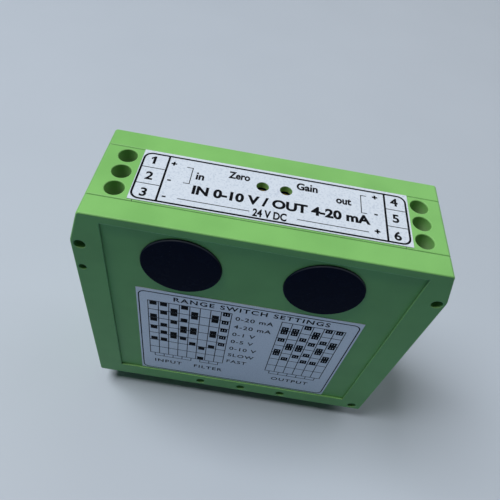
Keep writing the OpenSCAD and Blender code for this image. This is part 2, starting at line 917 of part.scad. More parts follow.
module gain_screw() {
    trimmer_screw(1);
}

// Place of slider i of a switch with so many ways, along X from the switch's middle
function way_x(i, ways) = (i - (ways + 1) / 2) * way_pitch;

// Body of a range switch on the board, with one slot for each slider
module range_switch(x, ways) {
    half_l = (ways * way_pitch + switch_margin) / 2;
    slot_half = slider_w / 2 + slider_gap;
    switch_y = board_y - switch_d;
    color("firebrick")
        translate([x, 0, z_cap])
            difference() {
                span([-half_l, switch_y, -switch_h / 2], [half_l, board_y, switch_h / 2]);
                for (i = [1:ways])
                    translate([way_x(i, ways), 0, 0])
                        span(
                            [-slot_half, switch_y - cut, -slot_h / 2],
                            [slot_half, switch_y + slider_depth + slider_gap, slot_h / 2]
                        );
            }
}

// Slider at the lower end of its slot
module range_slider(x, i, ways) {
    switch_y = board_y - switch_d;
    color("white")
        translate([x + way_x(i, ways), 0, z_cap - slot_h / 2 + slider_gap])
            span(
                [-slider_w / 2, switch_y - slider_reach, 0],
                [slider_w / 2, switch_y + slider_depth, slider_h]
            );
}

module input_switch() {
    range_switch(input_x, input_ways);
}

module output_switch() {
    range_switch(output_x, output_ways);
}

// Puts a board component, made with its back at y = 0, at a place on the board's front
module on_board(place) {
    translate([place[0], board_y, z_floor + place[1]]) children();
}

// Two E-shaped core halves as one loop with a middle leg
module transformer_core() {
    color("dimgray")
        on_board(transformer_at)
            translate([0, core_y, 0])
                difference() {
                    cube(core, center = true);
                    for (side = [-1, 1])
                        translate([side * (core_leg + core_window_w) / 2, 0, 0])
                            cube([core_window_w, core[1] + cut, core[2] - 2 * core_rim], center = true);
                }
}

// Rectangle about the origin with round corners
module rounded_rectangle(w, d, r) {
    square([w - 2 * r, d], center = true);
    square([w, d - 2 * r], center = true);
    for (x = [r - w / 2, w / 2 - r], y = [r - d / 2, d / 2 - r]) translate([x, y]) circle(r);
}

// Winding around the core's middle leg
module transformer_winding() {
    outer_w = core_leg + 2 * core_window_w - 2 * core_gap;
    outer_h = core[2] - 2 * core_rim - 2 * core_gap;
    color("orange")
        on_board(transformer_at)
            translate([0, core_y, 0])
                difference() {
                    linear_extrude(outer_h, center = true) rounded_rectangle(outer_w, winding_d, winding_r);
                    cube([core_leg + 2 * core_gap, core[1] + 2 * core_gap, core[2]], center = true);
                }
}

// Carrier plate between the winding and the board
module transformer_carrier() {
    color("black")
        on_board(transformer_at)
            translate([0, -carrier_t / 2, 0]) cube([core[0], carrier_t, core[2]], center = true);
}

// Chips with two rows of pins and a notch at one end
module amplifier_chips() {
    end_x = chip[0] / 2;
    pin_z = chip[2] / 2;
    pin_l = chip_stand + chip[1] / 2;
    front_y = -chip_stand - chip[1];
    color("black")
        for (place = chip_at)
            on_board(place) {
                difference() {
                    translate([-end_x, front_y, -pin_z]) cube(chip);
                    rod_y(-end_x, 0, chip_notch[0], front_y - cut, front_y + chip_notch[1]);
                }
                for (i = [0:chip_pins - 1], side = [-1, 1])
                    translate([(i - (chip_pins - 1) / 2) * chip_pin_pitch, -pin_l / 2, side * pin_z])
                        cube([chip_pin[0], pin_l, chip_pin[1]], center = true);
            }
}

// Aluminium cans with a crimp groove, which stand out from the board
module electrolytic_capacitors() {
    r = can_d / 2;
    section = [
        [0, 0],
        [r, 0],
        [r, can_groove_at - can_groove],
        [r - can_groove, can_groove_at],
        [r, can_groove_at + can_groove],
        [r, can_l - can_edge],
        [r - can_edge, can_l],
        [0, can_l]
    ];
    color("midnightblue")
        for (place = can_at)
            on_board(place) rotate([90, 0, 0]) rotate_extrude() polygon(section);
}

module film_capacitors() {
    color("darkred")
        for (place = film_at)
            on_board(place) translate([-film[0] / 2, -film[1], -film[2] / 2]) cube(film);
}

// Axial resistors with a waist and with leads bent into the board
module resistors() {
    r = resistor_d / 2;
    end_z = resistor_l / 2;
    waist_z = end_z - resistor_end_l;
    waist_r = r - resistor_waist;
    section = [
        [0, -end_z],
        [r, -end_z],
        [r, -waist_z],
        [waist_r, resistor_waist - waist_z],
        [waist_r, waist_z - resistor_waist],
        [r, waist_z],
        [r, end_z],
        [0, end_z]
    ];
    color("tan")
        for (place = resistor_at)
            on_board(place) {
                translate([0, -r, 0])
                    rotate([0, 90, 0]) {
                        rotate_extrude() polygon(section);
                        cylinder(d = lead_d, h = resistor_span, center = true);
                    }
                for (side = [-1, 1]) rod_y(side * resistor_span / 2, 0, lead_d, -r, 0);
            }
}

// Regulator lying flat on the board, with its tab upwards and three legs bent into the board
module voltage_regulator() {
    leg_y = -regulator[1] / 2;
    color("black")
        on_board(regulator_at) {
            translate([-regulator[0] / 2, -regulator[1], 0]) cube(regulator);
            for (i = [-1:1])
                translate([i * regulator_leg_pitch - regulator_leg[0] / 2, leg_y, -regulator_leg_l]) {
                    cube([regulator_leg[0], regulator_leg[1], regulator_leg_l]);
                    cube([regulator_leg[0], -leg_y, regulator_leg[1]]);
                }
            difference() {
                translate([-regulator[0] / 2, -regulator_tab[1], regulator[2]])
                    cube([regulator[0], regulator_tab[1], regulator_tab[0]]);
                rod_y(0, regulator[2] + regulator_tab[0] / 2, regulator_hole_d, -regulator[1], cut);
            }
        }
}

front_cover();
rear_cover();
centre_frame();
top_strip();
top_label();
side_label();
input_plug();
output_plug();
rail_latch();
latch_spring();
input_terminal_block();
output_terminal_block();
terminal_contacts();
circuit_board();
for (t = [1:terminals]) clamp_screw(t);
for (t = [1:terminals]) clamp_cage(t);
zero_trimmer();
gain_trimmer();
zero_screw();
gain_screw();
input_switch();
output_switch();
for (i = [1:input_ways])
    range_slider(input_x, i, input_ways);
for (i = [1:output_ways])
    range_slider(output_x, i, output_ways);
transformer_core();
transformer_carrier();
transformer_winding();
amplifier_chips();
electrolytic_capacitors();
film_capacitors();
resistors();
voltage_regulator();
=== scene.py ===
# Packed construction
# The solids of the isolator at their real size and place, with the origin under the middle of the
# rail foot. The sections below dress them in the order in which the module is put together.
import json
import math

import bmesh
import bpy
from mathutils import Matrix, Vector


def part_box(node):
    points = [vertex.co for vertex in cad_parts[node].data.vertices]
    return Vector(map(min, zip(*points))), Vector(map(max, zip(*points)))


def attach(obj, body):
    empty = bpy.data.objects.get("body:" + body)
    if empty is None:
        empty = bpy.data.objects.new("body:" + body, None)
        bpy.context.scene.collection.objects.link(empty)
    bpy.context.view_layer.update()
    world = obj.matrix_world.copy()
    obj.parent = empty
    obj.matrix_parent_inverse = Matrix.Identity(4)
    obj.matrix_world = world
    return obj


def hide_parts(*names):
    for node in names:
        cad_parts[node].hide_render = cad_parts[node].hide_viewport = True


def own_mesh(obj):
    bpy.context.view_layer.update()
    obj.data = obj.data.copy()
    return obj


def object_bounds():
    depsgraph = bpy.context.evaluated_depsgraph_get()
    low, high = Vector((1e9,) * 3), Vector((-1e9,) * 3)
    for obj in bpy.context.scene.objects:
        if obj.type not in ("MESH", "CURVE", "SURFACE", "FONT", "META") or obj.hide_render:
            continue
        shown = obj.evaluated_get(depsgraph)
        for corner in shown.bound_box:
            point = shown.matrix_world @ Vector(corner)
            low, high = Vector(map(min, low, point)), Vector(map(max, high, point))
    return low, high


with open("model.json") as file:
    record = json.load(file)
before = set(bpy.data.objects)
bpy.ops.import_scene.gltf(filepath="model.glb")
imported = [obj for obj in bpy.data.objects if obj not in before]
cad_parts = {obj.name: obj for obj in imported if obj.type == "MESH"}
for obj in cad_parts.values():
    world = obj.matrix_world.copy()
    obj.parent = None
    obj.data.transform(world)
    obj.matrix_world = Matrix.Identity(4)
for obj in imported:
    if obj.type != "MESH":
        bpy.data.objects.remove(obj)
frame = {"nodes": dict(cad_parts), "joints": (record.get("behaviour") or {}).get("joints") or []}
cad_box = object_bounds()
solids = frame["nodes"]
MM = 0.001


# Centre frame
# The U-shaped base of the housing, with the hook and the latch guide of the rail foot under it.
# It is moulded in green plastic with a fine eroded texture, as are the blocks, strip and covers.
class Socket:
    """An output of a material's node; arithmetic on values adds Math nodes behind it."""

    def __init__(self, tree, output=None):
        self.tree = tree
        self.output = output

    def node(self, kind, settings, inputs, output=0):
        """Adds a node of a kind: its settings first, then the values or links of its inputs."""
        made = self.tree.nodes.new("ShaderNode" + kind)
        for name, value in settings.items():
            setattr(made, name, value)
        for key, value in inputs.items():
            if isinstance(value, Socket):
                self.tree.links.new(value.output, made.inputs[key])
            else:
                made.inputs[key].default_value = value
        return Socket(self.tree, made.outputs[output])

    def math(self, operation, first, second):
        return self.node("Math", {"operation": operation}, {0: first, 1: second})

    def __add__(self, other):
        return self.math("ADD", self, other)

    def __sub__(self, other):
        return self.math("SUBTRACT", self, other)

    def __rsub__(self, other):
        return self.math("SUBTRACT", other, self)

    def __mul__(self, other):
        return self.math("MULTIPLY", self, other)

    def __truediv__(self, other):
        return self.math("DIVIDE", self, other)

    def __mod__(self, other):
        return self.math("FLOORED_MODULO", self, other)

    def __gt__(self, other):
        return self.math("GREATER_THAN", self, other)

    def __lt__(self, other):
        return self.math("LESS_THAN", self, other)

    def __abs__(self):
        return self.math("ABSOLUTE", self, 0.0)

    __radd__ = __add__
    __rmul__ = __mul__


def srgb(red, green, blue):
    """Linear colour of three levels from 0 to 255."""
    shares = [level / 255 for level in (red, green, blue)]
    linear = [s / 12.92 if s <= 0.04045 else ((s + 0.055) / 1.055) ** 2.4 for s in shares]
    return (*linear, 1.0)


def new_finish(name):
    """A material, its shader node and the place on a piece in millimetres."""
    material = bpy.data.materials.new(name)
    material.use_nodes = True
    tree = material.node_tree
    metres = Socket(tree).node("TexCoord", {}, {}, "Object")
    place = metres.node("VectorMath", {"operation": "SCALE"}, {"Vector": metres, "Scale": 1 / MM})
    return material, tree.nodes["Principled BSDF"], place


def noise(place, per_mm, detail=2.0):
    """Noise from 0 to 1 with so many features to the millimetre."""
    return place.node("TexNoise", {}, {"Vector": place, "Scale": per_mm, "Detail": detail})


def ramp(value, low, high):
    """Soft step from 0 at low to 1 at high."""
    return value.node(
        "MapRange",
        {"interpolation_type": "SMOOTHSTEP"},
        {"Value": value, "From Min": low, "From Max": high},
    )


def tint(share, first, second):
    """Colour between two, by a share from 0 to 1."""
    return share.node("Mix", {"data_type": "RGBA"}, {0: share, 6: first, 7: second}, 2)


def relief(height, depth_mm, under=None):
    """Surface direction over a height from 0 to 1 that stands so deep."""
    inputs = {"Height": height, "Distance": depth_mm * MM}
    if under:
        inputs["Normal"] = under
    return height.node("Bump", {}, inputs)


def rounded_edge(place, radius_mm, samples):
    """Surface direction with the edges rounded to a radius."""
    return place.node("Bevel", {"samples": samples}, {"Radius": radius_mm * MM})


def openness(place, reach_mm, samples):
    """Share of open space within reach of the surface, from 0 in a deep hole to 1 in the open."""
    return place.node("AmbientOcclusion", {"samples": samples}, {"Distance": reach_mm * MM}, "AO")


def axis(place, name):
    """One coordinate of a place."""
    return place.node("SeparateXYZ", {}, {"Vector": place}, name)


def feed(shader, values):
    """Sets or links the shader's own inputs."""
    for name, value in values.items():
        if isinstance(value, Socket):
            value.tree.links.new(value.output, shader.inputs[name])
        else:
            shader.inputs[name].default_value = value


def dress(names, material):
    """Gives solids one material."""
    for name in names:
        solids[name].data.materials.clear()
        solids[name].data.materials.append(material)


moulding_green = srgb(121, 184, 98)
moulding_shade = srgb(113, 175, 91)
# Painted highlight: a pale green laid along convex edges and hole rims, as if they catch the light.
moulding_edge_highlight = srgb(182, 226, 162)
# Painted shade: a dark green laid into crevices, seams and recess corners, where little light reaches.
moulding_crevice_shade = srgb(30, 58, 32)
# Painted shade with dust: a greyed, darker green laid into deep holes and screw wells.
moulding_hole_dust_shade = srgb(146, 168, 130)
edge_radius = 0.24
edge_highlight_span = (0.02, 0.25)
edge_samples = 6
crevice_reach = 0.26
crevice_span = (0.12, 0.5)
crevice_samples = 8
hole_reach = 5.0
hole_span = (0.5, 0.9)
hole_samples = 6
open_span = (0.4, 0.8)
crevice_shade_share = 0.85
hole_dust_shade_share = 0.6
grain_per_mm = 4.5
grain_detail = 3.0
grain_depth = 0.006
grain_tone = 0.2
grain_rough = 0.12
cloud_per_mm = 0.09
cloud_span = (0.35, 0.65)
cloud_tone = 0.8
cloud_rough = 0.08
moulding_rough = 0.4
moulding_gloss = 0.42

green_plastic, shader, place = new_finish("green_plastic")
grain = noise(place, grain_per_mm, grain_detail)
clouds = noise(place, cloud_per_mm)
rounded = rounded_edge(place, edge_radius, edge_samples)
facing = place.node("NewGeometry", {}, {}, "Normal")
agree = place.node("VectorMath", {"operation": "DOT_PRODUCT"}, {0: rounded, 1: facing}, "Value")
edge = ramp(1 - agree, *edge_highlight_span)
open_share = openness(place, crevice_reach, crevice_samples)
hole_share = openness(place, hole_reach, hole_samples)
# Painted shade in crevices, seams and recess corners, by how closed in the surface is there.
crevice_shade = ramp(1 - open_share, *crevice_span) * crevice_shade_share
flow_marks = ramp(clouds * cloud_tone + grain * grain_tone, *cloud_span)
body_tone = tint(flow_marks, moulding_shade, moulding_green)
# Painted highlight on convex edges that stand in the open.
edge_highlighted = tint(edge * ramp(open_share, *open_span), body_tone, moulding_edge_highlight)
# Deep holes and wells take the greyed tone: painted shade, and dust.
hole_dust_shaded = tint(ramp(1 - hole_share, *hole_span) * hole_dust_shade_share, edge_highlighted, moulding_hole_dust_shade)
feed(shader, {
    "Base Color": tint(crevice_shade, hole_dust_shaded, moulding_crevice_shade),
    "Roughness": moulding_rough + grain * grain_rough + clouds * cloud_rough,
    "Normal": relief(grain, grain_depth, rounded),
    "Specular IOR Level": moulding_gloss,
})
dress(["centre_frame"], green_plastic)


# Rail latch
# The sprung catch that holds the module on its rail. It is moulded in dark glass-filled plastic,
# slides in the guide under the centre frame and is drawn back with a screwdriver in its slot.
latch_dark = srgb(40, 41, 43)
latch_fibre = srgb(66, 67, 69)
fibre_stretch = (0.3, 2.0, 2.0)
fibre_per_mm = 1.6
fibre_detail = 4.0
fibre_span = (0.45, 0.75)
fibre_share = 0.6
pits_per_mm = 5.0
pits_rough = 0.2
latch_rough = 0.42
latch_edge_samples = 4

dark_plastic, shader, place = new_finish("dark_plastic")
along = place.node("Mapping", {}, {"Vector": place, "Scale": fibre_stretch})
streaks = noise(along, fibre_per_mm, fibre_detail)
pits = noise(place, pits_per_mm)
rounded = rounded_edge(place, edge_radius, latch_edge_samples)
feed(shader, {
    "Base Color": tint(ramp(streaks, *fibre_span) * fibre_share, latch_dark, latch_fibre),
    "Roughness": latch_rough + pits * pits_rough,
    "Normal": relief(pits, grain_depth, rounded),
})
dress(["rail_latch"], dark_plastic)


# Latch spring
# A coil of round steel wire between the latch and the stop post of its guide. One end rests on
# the post, and the coil shortens as the latch is drawn back; here it is made as one tube at its packed
# length.
wire_d = 0.4
coil_turns = 5
steps_per_turn = 40
wire_sides = 12
steel_light = srgb(205, 206, 204)
steel_dull = srgb(186, 187, 184)
steel_rough = 0.24
steel_grain_per_mm = 6.0
tarnish_per_mm = 0.4
tarnish_detail = 3.0
tarnish_span = (0.35, 0.7)
tarnish_rough = 0.08
worked_depth = 0.004
worked_rough = 0.14


def metal(name, bright, dull, roughness, per_mm):
    """Bare or plated metal with a faint worked grain."""
    material, shader, place = new_finish(name)
    tarnish = noise(place, tarnish_per_mm, tarnish_detail)
    worked = noise(place, per_mm)
    feed(shader, {
        "Base Color": tint(ramp(tarnish, *tarnish_span), bright, dull),
        "Metallic": 1.0,
        "Roughness": roughness + worked * worked_rough + tarnish * tarnish_rough,
        "Normal": relief(worked, worked_depth),
    })
    return material


def new_piece(name, made, material, body):
    """Object from a mesh in the making, which rides on a body and takes the finish of a slot."""
    mesh = bpy.data.meshes.new(name)
    made.to_mesh(mesh)
    made.free()
    mesh.materials.append(material)
    piece = bpy.data.objects.new(name, mesh)
    bpy.context.scene.collection.objects.link(piece)
    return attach(piece, body)


spring_low, spring_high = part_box("latch_spring")
spring_axis = (spring_low + spring_high) / 2
spring_l = spring_high.x - spring_low.x
wire_r = wire_d / 2 * MM
coil_r = (spring_high.z - spring_low.z) / 2 - wire_r
coil_l = spring_l - 2 * wire_r
coil_steps = coil_turns * steps_per_turn
coil_mesh = bmesh.new()
rings = []
for step in range(coil_steps + 1):
    turn = math.tau * step / steps_per_turn
    out = Vector((0, math.cos(turn), math.sin(turn)))
    coil_x = spring_low.x + wire_r + coil_l * step / coil_steps
    centre = Vector((coil_x, spring_axis.y, spring_axis.z)) + out * coil_r
    ring = []
    for side in range(wire_sides):
        around = math.tau * side / wire_sides
        reach = out * math.cos(around) + Vector((1, 0, 0)) * math.sin(around)
        ring.append(coil_mesh.verts.new(centre + reach * wire_r))
    rings.append(ring)
for near, far in zip(rings, rings[1:]):
    for side in range(wire_sides):
        after = (side + 1) % wire_sides
        coil_mesh.faces.new((near[side], near[after], far[after], far[side]))
coil_mesh.faces.new(list(reversed(rings[0])))
coil_mesh.faces.new(rings[-1])
bmesh.ops.recalc_face_normals(coil_mesh, faces=coil_mesh.faces)
for face in coil_mesh.faces:
    face.smooth = len(face.verts) == 4

plated_steel = metal("plated_steel", steel_light, steel_dull, steel_rough, steel_grain_per_mm)
spring_coil = new_piece("spring_coil", coil_mesh, plated_steel, "housing")
latch_slide = next(j for j in frame["joints"] if j["name"] == "rail_latch_slide")
latch_travel = latch_slide["range_m"][1]
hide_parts("latch_spring")
1 - latch_travel / spring_l
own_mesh(spring_coil)


# Circuit board
# The glass-fibre board that stands in a slot of the centre frame and carries the whole circuit.
# Green solder mask covers its copper tracks, which run on a 2.54 mm grid.
mask_green = srgb(22, 84, 46)
track_green = srgb(44, 116, 66)
track_pitch = 2.54
track_w = 0.7
track_depth = 0.035
track_share = 0.8
areas_per_mm = 0.12
upright_share = 0.5
weave_per_mm = 2.2
weave_share = 0.15
weave_rough = 0.14
board_rough = 0.28
board_coat = 0.3

board_finish, shader, place = new_finish("solder_mask")
x = axis(place, "X")
z = axis(place, "Z")
areas = place.node("TexVoronoi", {"feature": "F1"}, {"Vector": place, "Scale": areas_per_mm}, "Color")
choice = place.node("SeparateColor", {}, {"Color": areas}, "Red")
upright = (x % track_pitch) < track_w
level = (z % track_pitch) < track_w
tracks = upright * (choice > upright_share) + level * (choice < upright_share)
weave = noise(place, weave_per_mm)
board_tone = tracks * track_share + weave * weave_share
feed(shader, {
    "Base Color": tint(board_tone, mask_green, track_green),
    "Roughness": board_rough + weave * weave_rough,
    "Normal": relief(tracks, track_depth),
    "Coat Weight": board_coat,
})
dress(["circuit_board"], board_finish)


# Amplifier chips and regulator
# Moulded black packages with tinned pins, soldered to the front of the board. The pins and the
# regulator's tab stand out past the packages, so the metal begins where the package ends.
package_black = srgb(30, 30, 32)
package_grey = srgb(48, 48, 50)
tin_light = srgb(200, 202, 204)
resin_rough = 0.55
tin_rough = 0.3
pores_per_mm = 7.0
pores_detail = 3.0
pores_span = (0.4, 0.8)
pores_depth = 0.006
pores_rough = 0.12
chip_half = 3.36
pin_start = 3.21
regulator_leg = 2.2
regulator_package = 7.5
package_skin = 0.01


def compound(place):
    """Pores and colour of black moulding compound."""
    pores = noise(place, pores_per_mm, pores_detail)
    return pores, tint(ramp(pores, *pores_span), package_black, package_grey)


def package(shader, place, tin):
    """Black moulding compound with bare tin where the share is 1."""
    pores, resin = compound(place)
    feed(shader, {
        "Base Color": tint(tin, resin, tin_light),
        "Metallic": tin,
        "Roughness": resin_rough - tin * (resin_rough - tin_rough) + pores * pores_rough,
        "Normal": relief(pores, pores_depth),
    })


chip_low, chip_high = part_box("amplifier_chips")
chip_finish, shader, place = new_finish("chip_package")
z = axis(place, "Z")
from_lower = abs(z - (chip_low.z / MM + chip_half))
from_upper = abs(z - (chip_high.z / MM - chip_half))
off_centre = from_lower.math("MINIMUM", from_lower, from_upper)
package(shader, place, off_centre > pin_start)
dress(["amplifier_chips"], chip_finish)

regulator_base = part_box("voltage_regulator")[0].z / MM
regulator_finish, shader, place = new_finish("regulator_package")
z = axis(place, "Z")
package_low = regulator_base + regulator_leg - package_skin
package_high = regulator_base + regulator_leg + regulator_package + package_skin
package(shader, place, (z < package_low) + (z > package_high))
dress(["voltage_regulator"], regulator_finish)


# Capacitors
# Electrolytic cans in a dark sleeve with a pale stripe, open over the bare end of the can, and
# flat film capacitors dipped in dark red lacquer. All stand on the front of the board.
sleeve_blue = srgb(28, 34, 66)
sleeve_stripe = srgb(176, 182, 192)
can_bare = srgb(204, 206, 208)
stripe_x = 2.3
bare_depth = 0.3
wrinkles_per_mm = 1.2
wrinkle_depth = 0.02
wrinkle_rough = 0.12
sleeve_rough = 0.3
lacquer_red = srgb(120, 30, 24)
lacquer_dark = srgb(92, 20, 17)
runs_per_mm = 0.5
runs_span = (0.3, 0.7)
runs_depth = 0.12
runs_rough = 0.12
lacquer_rough = 0.22

can_low, can_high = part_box("electrolytic_capacitors")
can_x = (can_low.x + can_high.x) / 2 / MM
can_finish, shader, place = new_finish("can_sleeve")
x = axis(place, "X")
y = axis(place, "Y")
wrinkle = noise(place, wrinkles_per_mm)
bare_end = y < can_low.y / MM + bare_depth
stripe = (x - can_x) > stripe_x
sleeve = tint(stripe, sleeve_blue, sleeve_stripe)
feed(shader, {
    "Base Color": tint(bare_end, sleeve, can_bare),
    "Metallic": bare_end,
    "Roughness": sleeve_rough + wrinkle * wrinkle_rough,
    "Normal": relief(wrinkle, wrinkle_depth),
})
dress(["electrolytic_capacitors"], can_finish)

film_finish, shader, place = new_finish("dipped_lacquer")
runs = noise(place, runs_per_mm)
feed(shader, {
    "Base Color": tint(ramp(runs, *runs_span), lacquer_dark, lacquer_red),
    "Roughness": lacquer_rough + runs * runs_rough,
    "Normal": relief(runs, runs_depth),
})
dress(["film_capacitors"], film_finish)


# Resistors
# Axial resistors with a waisted body in tan lacquer and painted bands, on tinned leads that are
# bent into the board.
resistor_tan = srgb(206, 176, 128)
band_brown = srgb(92, 52, 30)
band_red = srgb(160, 40, 30)
resistor_reach = 5.05
lead_start = 3.16
inner_band = 0.7
outer_band = 2.3
band_half = 0.25
sheen_per_mm = 2.0
sheen_depth = 0.01
sheen_rough = 0.12
resistor_rough = 0.34

resistor_low, resistor_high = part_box("resistors")
resistor_finish, shader, place = new_finish("resistor_lacquer")
x = axis(place, "X")
from_left = abs(x - (resistor_low.x / MM + resistor_reach))
from_right = abs(x - (resistor_high.x / MM - resistor_reach))
off_centre = from_left.math("MINIMUM", from_left, from_right)
lead = off_centre > lead_start
inner = abs(off_centre - inner_band) < band_half
outer = abs(off_centre - outer_band) < band_half
sheen = noise(place, sheen_per_mm)
banded = tint(outer, tint(inner, resistor_tan, band_brown), band_red)
feed(shader, {
    "Base Color": tint(lead, banded, tin_light),
    "Metallic": lead,
    "Roughness": resistor_rough + sheen * sheen_rough,
    "Normal": relief(sheen, sheen_depth),
})
dress(["resistors"], resistor_finish)


# Isolating transformer
# A sintered ferrite core around a coil of enamelled copper wire, on a black carrier plate that is
# soldered to the board. It passes the signal from the input side to the output side.
ferrite_dark = srgb(44, 44, 47)
ferrite_light = srgb(72, 72, 76)
sinter_per_mm = 4.0
sinter_detail = 4.0
sinter_span = (0.4, 0.7)
sinter_depth = 0.015
sinter_rough = 0.2
ferrite_rough = 0.5
enamel_copper = srgb(196, 112, 50)
# Painted shade: a darker copper between the turns, where each turn shades the grooves beside it.
enamel_gap_shade = srgb(120, 58, 24)
winding_pitch = 0.32
winding_metal = 0.6
winding_rough = 0.38
winding_depth = 0.1
crown_gloss = 0.1

ferrite, shader, place = new_finish("ferrite")
sinter = noise(place, sinter_per_mm, sinter_detail)
feed(shader, {
    "Base Color": tint(ramp(sinter, *sinter_span), ferrite_dark, ferrite_light),
    "Roughness": ferrite_rough + sinter * sinter_rough,
    "Normal": relief(sinter, sinter_depth),
})
dress(["transformer_core"], ferrite)

winding, shader, place = new_finish("enamelled_wire")
z = axis(place, "Z")
across = abs((z % winding_pitch) / winding_pitch - 0.5) * 2
turns = 1 - across * across
feed(shader, {
    "Base Color": tint(turns, enamel_gap_shade, enamel_copper),
    "Metallic": winding_metal,
    "Roughness": winding_rough - turns * crown_gloss,
    "Normal": relief(turns, winding_depth),
})
dress(["transformer_winding"], winding)

carrier_finish, shader, place = new_finish("carrier_plastic")
pores, resin = compound(place)
feed(shader, {
    "Base Color": resin,
    "Roughness": resin_rough + pores * pores_rough,
    "Normal": relief(pores, pores_depth),
})
dress(["transformer_carrier"], carrier_finish)


# Trimmers
# Two slim multi-turn trimmers on the board's top edge, in blue moulded cases. Their slotted brass
# screws lie under the holes of the top label.
trimmer_blue = srgb(36, 78, 168)
trimmer_shade = srgb(28, 62, 140)
trimmer_rough = 0.32
brass_light = srgb(214, 182, 104)
brass_dull = srgb(176, 142, 74)
brass_rough = 0.26
brass_grain_per_mm = 5.0
flow_per_mm = 0.6
flow_span = (0.3, 0.7)
skin_per_mm = 8.0
skin_depth = 0.003
skin_rough = 0.12
small_edge = 0.08
small_edge_samples = 4


def small_moulding(name, light, shade, roughness):
    """Smooth plastic of a small moulded part."""
    material, shader, place = new_finish(name)
    flow = noise(place, flow_per_mm)
    skin = noise(place, skin_per_mm)
    rounded = rounded_edge(place, small_edge, small_edge_samples)
    feed(shader, {
        "Base Color": tint(ramp(flow, *flow_span), shade, light),
        "Roughness": roughness + skin * skin_rough,
        "Normal": relief(skin, skin_depth, rounded),
    })
    return material


brass = metal("brass", brass_light, brass_dull, brass_rough, brass_grain_per_mm)
trimmer_case = small_moulding("trimmer_case", trimmer_blue, trimmer_shade, trimmer_rough)
dress(["zero_trimmer", "gain_trimmer"], trimmer_case)
dress(["zero_screw", "gain_screw"], brass)


# Range switches
# Two red slide-switch blocks on the board behind the round openings of the front cover: eight
# ways for the input and six for the output, with white sliders and printed way numbers.
switch_red = srgb(178, 38, 32)
switch_shade = srgb(150, 30, 26)
switch_rough = 0.34
slider_white = srgb(232, 232, 226)
slider_shade = srgb(214, 214, 206)
slider_rough = 0.36
white_ink = srgb(226, 226, 220)
ink_rise = 0.012
ink_sink = 0.004
ink_rough = 0.5
ink_gloss = 0.04
film_per_mm = 2.5
film_detail = 3.0
film_span = (0.45, 0.85)
film_rough = 0.15
worn_share = 0.5
join_distance = 1e-8
cap_share = 0.682
curve_steps = 4
dot_line = 0.72
dot_lift = 0.09
one_stem = 0.08
one_flag = 0.3
one_flag_drop = 0.24
one_neck_drop = 0.32
digit_h = 0.8
digit_drop = 2.55
on_rise = 2.0
on_inset = 1.2


def lay_outline(sheet, outline):
    """Thin closed block of ink over a flat anticlockwise outline in millimetres."""
    low = [sheet.verts.new((u * MM, v * MM, -ink_sink * MM)) for u, v in outline]
    high = [sheet.verts.new((u * MM, v * MM, ink_rise * MM)) for u, v in outline]
    sheet.faces.new(list(reversed(low)))
    sheet.faces.new(high)
    for i in range(len(outline)):
        j = (i + 1) % len(outline)
        sheet.faces.new((low[i], low[j], high[j], high[i]))


def lay_bar(sheet, left, bottom, right, top):
    """Rectangle of ink."""
    lay_outline(sheet, [(left, bottom), (right, bottom), (right, top), (left, top)])


def lift_dots(shape, height):
    """Raises the dots of small letters, which would run into their stems in print of this size."""
    letters = bmesh.new()
    letters.from_mesh(shape)
    waiting = set(letters.verts)
    while waiting:
        island = [waiting.pop()]
        for vertex in island:
            linked = {link.other_vert(vertex) for link in vertex.link_edges} & waiting
            waiting -= linked
            island += linked
        if min(vertex.co.y for vertex in island) > dot_line * height * MM:
            for vertex in island:
                vertex.co.y += dot_lift * height * MM
    letters.to_mesh(shape)
    letters.free()


def lay_words(sheet, words, spot, base, height, width=None, bold=0.0, spread=1.0, share=0.5):
    """Words of a cap height on a base line, with a share of their length before a spot."""
    letters = bpy.data.curves.new("letters", "FONT")
    letters.body = words
    letters.size = height / cap_share * MM
    letters.bevel_depth = bold * MM
    letters.bevel_resolution = 0
    letters.space_character = spread
    letters.extrude = ink_rise * MM
    letters.resolution_u = curve_steps
    holder = bpy.data.objects.new("letters", letters)
    bpy.context.scene.collection.objects.link(holder)
    bpy.context.view_layer.update()
    set_words = holder.evaluated_get(bpy.context.evaluated_depsgraph_get())
    shape = bpy.data.meshes.new_from_object(set_words)
    lift_dots(shape, height)
    start = min(vertex.co.x for vertex in shape.vertices)
    length = max(vertex.co.x for vertex in shape.vertices) - start
    thick = 2 * max(vertex.co.z for vertex in shape.vertices)
    stretch = width * MM / length if width else 1.0
    shift = spot * MM - stretch * (start + share * length)
    raised = (ink_rise - ink_sink) / 2 * MM
    flatten = (ink_rise + ink_sink) * MM / thick
    fit = Matrix.Diagonal((stretch, 1, flatten, 1))
    shape.transform(Matrix.Translation((shift, base * MM, raised)) @ fit)
    sheet.from_mesh(shape)
    bpy.data.objects.remove(holder)
    bpy.data.curves.remove(letters)
    bpy.data.meshes.remove(shape)


def lay_number(sheet, number, spot, base, height, bold=0.0):
    """Number on a base line; a one gets the flag that the lettering lacks."""
    if number != "1":
        lay_words(sheet, number, spot, base, height, bold=bold)
        return
    stem = one_stem * height + bold
    flag = one_flag * height + bold
    top = base + height + bold
    flag_top = top - one_flag_drop * height
    lay_outline(sheet, [
        (spot - stem, base - bold),
        (spot + stem, base - bold),
        (spot + stem, top),
        (spot - stem / 2, top),
        (spot - flag, flag_top),
        (spot - flag, flag_top - 2 * stem),
        (spot - stem, top - one_neck_drop * height),
    ])


def print_piece(name, sheet, spot, material):
    """Print laid flat on a sheet, turned onto the surface that carries it."""
    bmesh.ops.remove_doubles(sheet, verts=sheet.verts, dist=join_distance)
    bmesh.ops.transform(sheet, matrix=spot, verts=sheet.verts)
    return new_piece(name, sheet, material, "housing")


def front_spot(y):
    """Turns a flat sheet to face the front, at a place along Y."""
    return Matrix(((1, 0, 0, 0), (0, 0, -1, y), (0, 1, 0, 0), (0, 0, 0, 1)))


